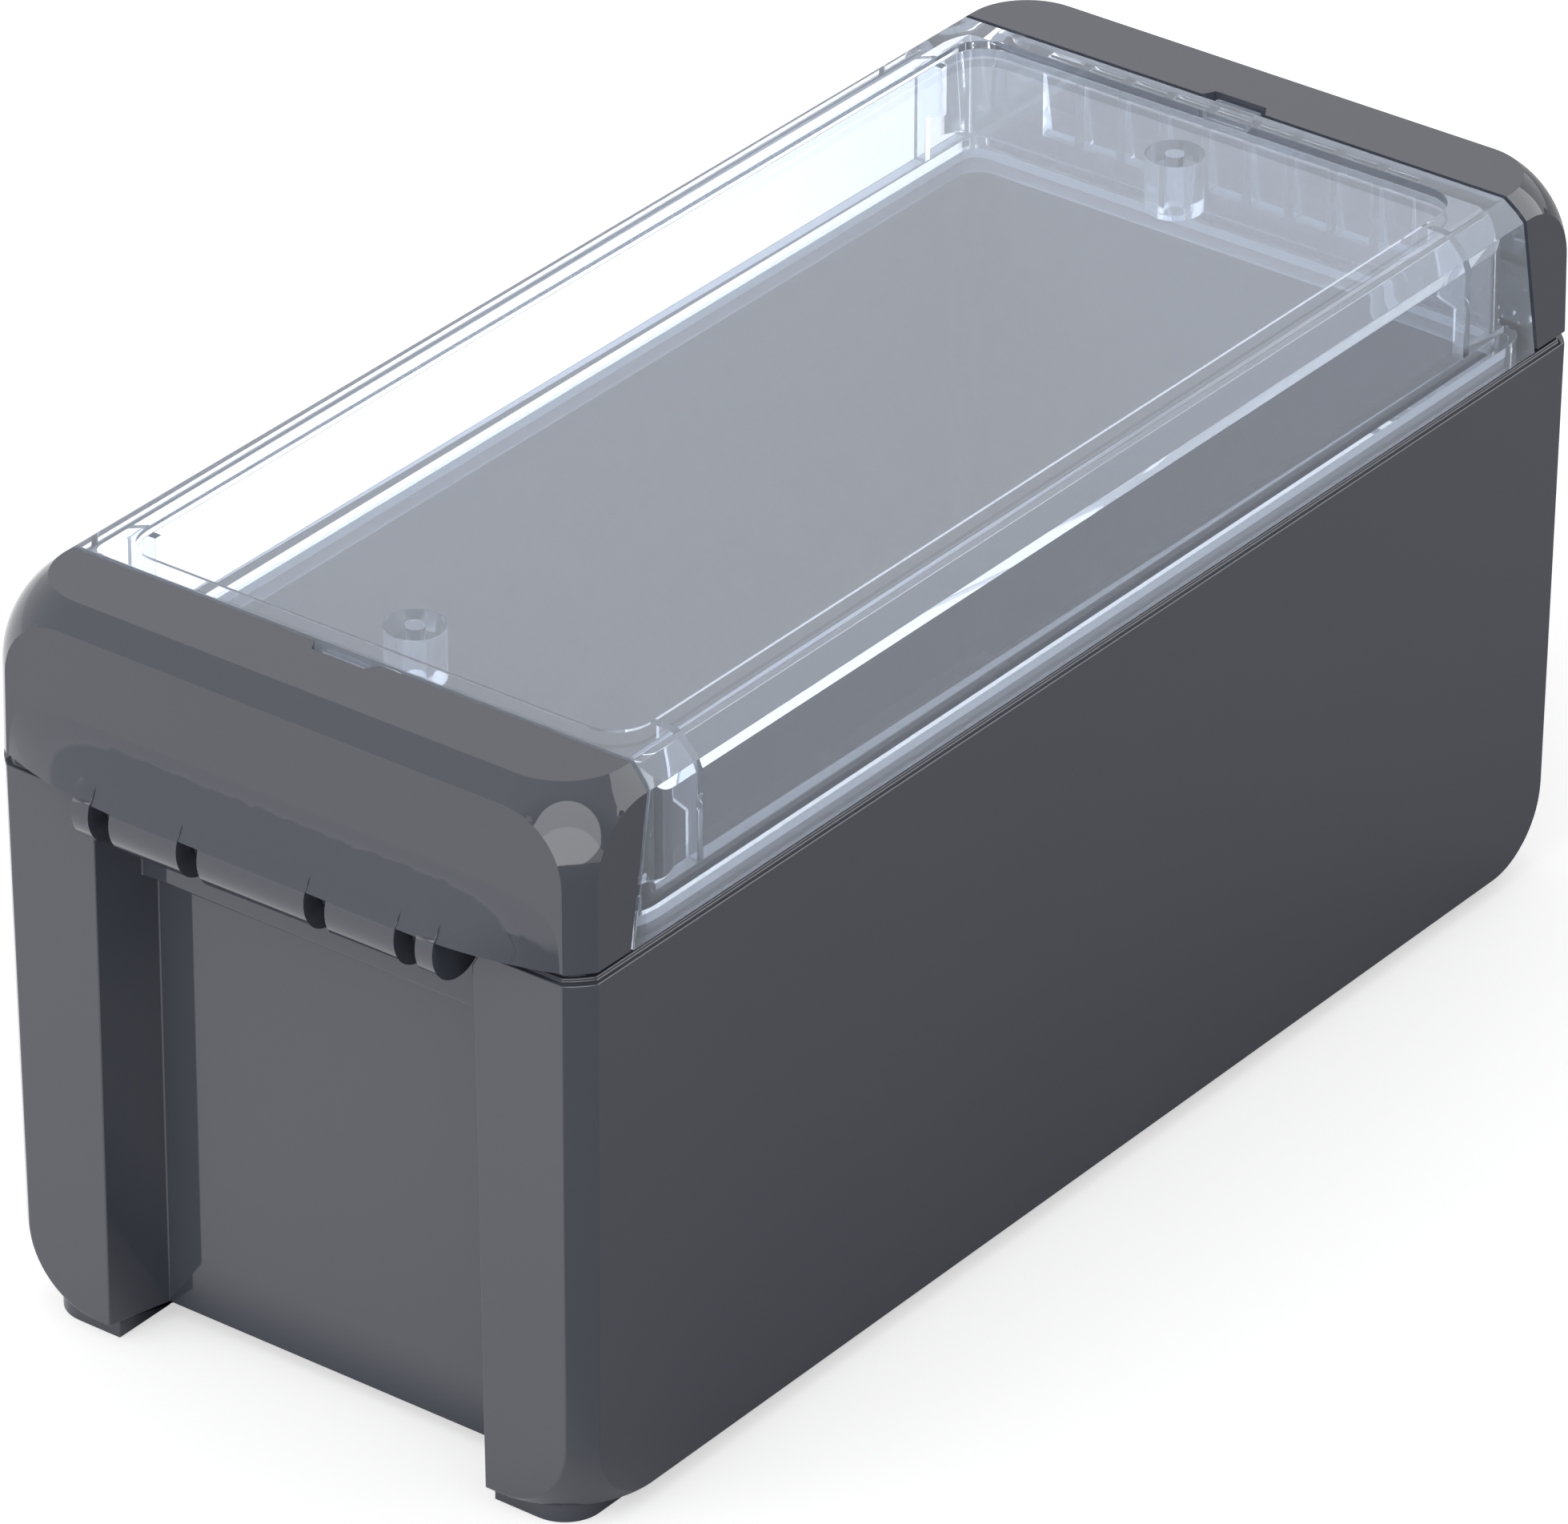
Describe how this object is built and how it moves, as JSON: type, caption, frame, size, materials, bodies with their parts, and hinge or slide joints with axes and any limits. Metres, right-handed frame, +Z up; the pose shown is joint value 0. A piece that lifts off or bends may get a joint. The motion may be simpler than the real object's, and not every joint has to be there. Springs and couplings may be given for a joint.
{
  "type": "plastic project box",
  "caption": "Wall-mounting plastic electronics enclosure with a deep base, a clear hinged lid and hinged end covers that clamp the lid shut.",
  "frame": {"origin": "on the ground plane under the middle of the box", "axes": "+X along the length towards the far end cover, +Y across the width, +Z up towards the lid"},
  "size_m": [0.1894, 0.08, 0.09],
  "materials": {
    "graphite_plastic": "smooth moulded, glossy",
    "clear_plastic": "clear, polished",
    "seal_foam": "fine closed-cell foam"
  },
  "bodies": {
    "base": {"base_shell": "graphite_plastic"},
    "lid": {"lid": "clear_plastic", "lid_seal": "seal_foam", "far_end_cover": "graphite_plastic"},
    "near_cover": {"near_end_cover": "graphite_plastic"}
  },
  "joints": [
    {"name": "lid_hinge", "type": "hinge", "parent": "base", "child": "lid", "pos_m": [0.0903, 0, 0.0687], "axis": [0, 1, 0], "range_deg": [0, 75]},
    {"name": "near_cover_hinge", "type": "hinge", "parent": "base", "child": "near_cover", "pos_m": [-0.0903, 0, 0.0687], "axis": [0, -1, 0], "range_deg": [0, 94]}
  ],
  "couplings": [
    {"joint": "near_cover_hinge", "follows": "lid_hinge", "ratio": 1.25}
  ]
}
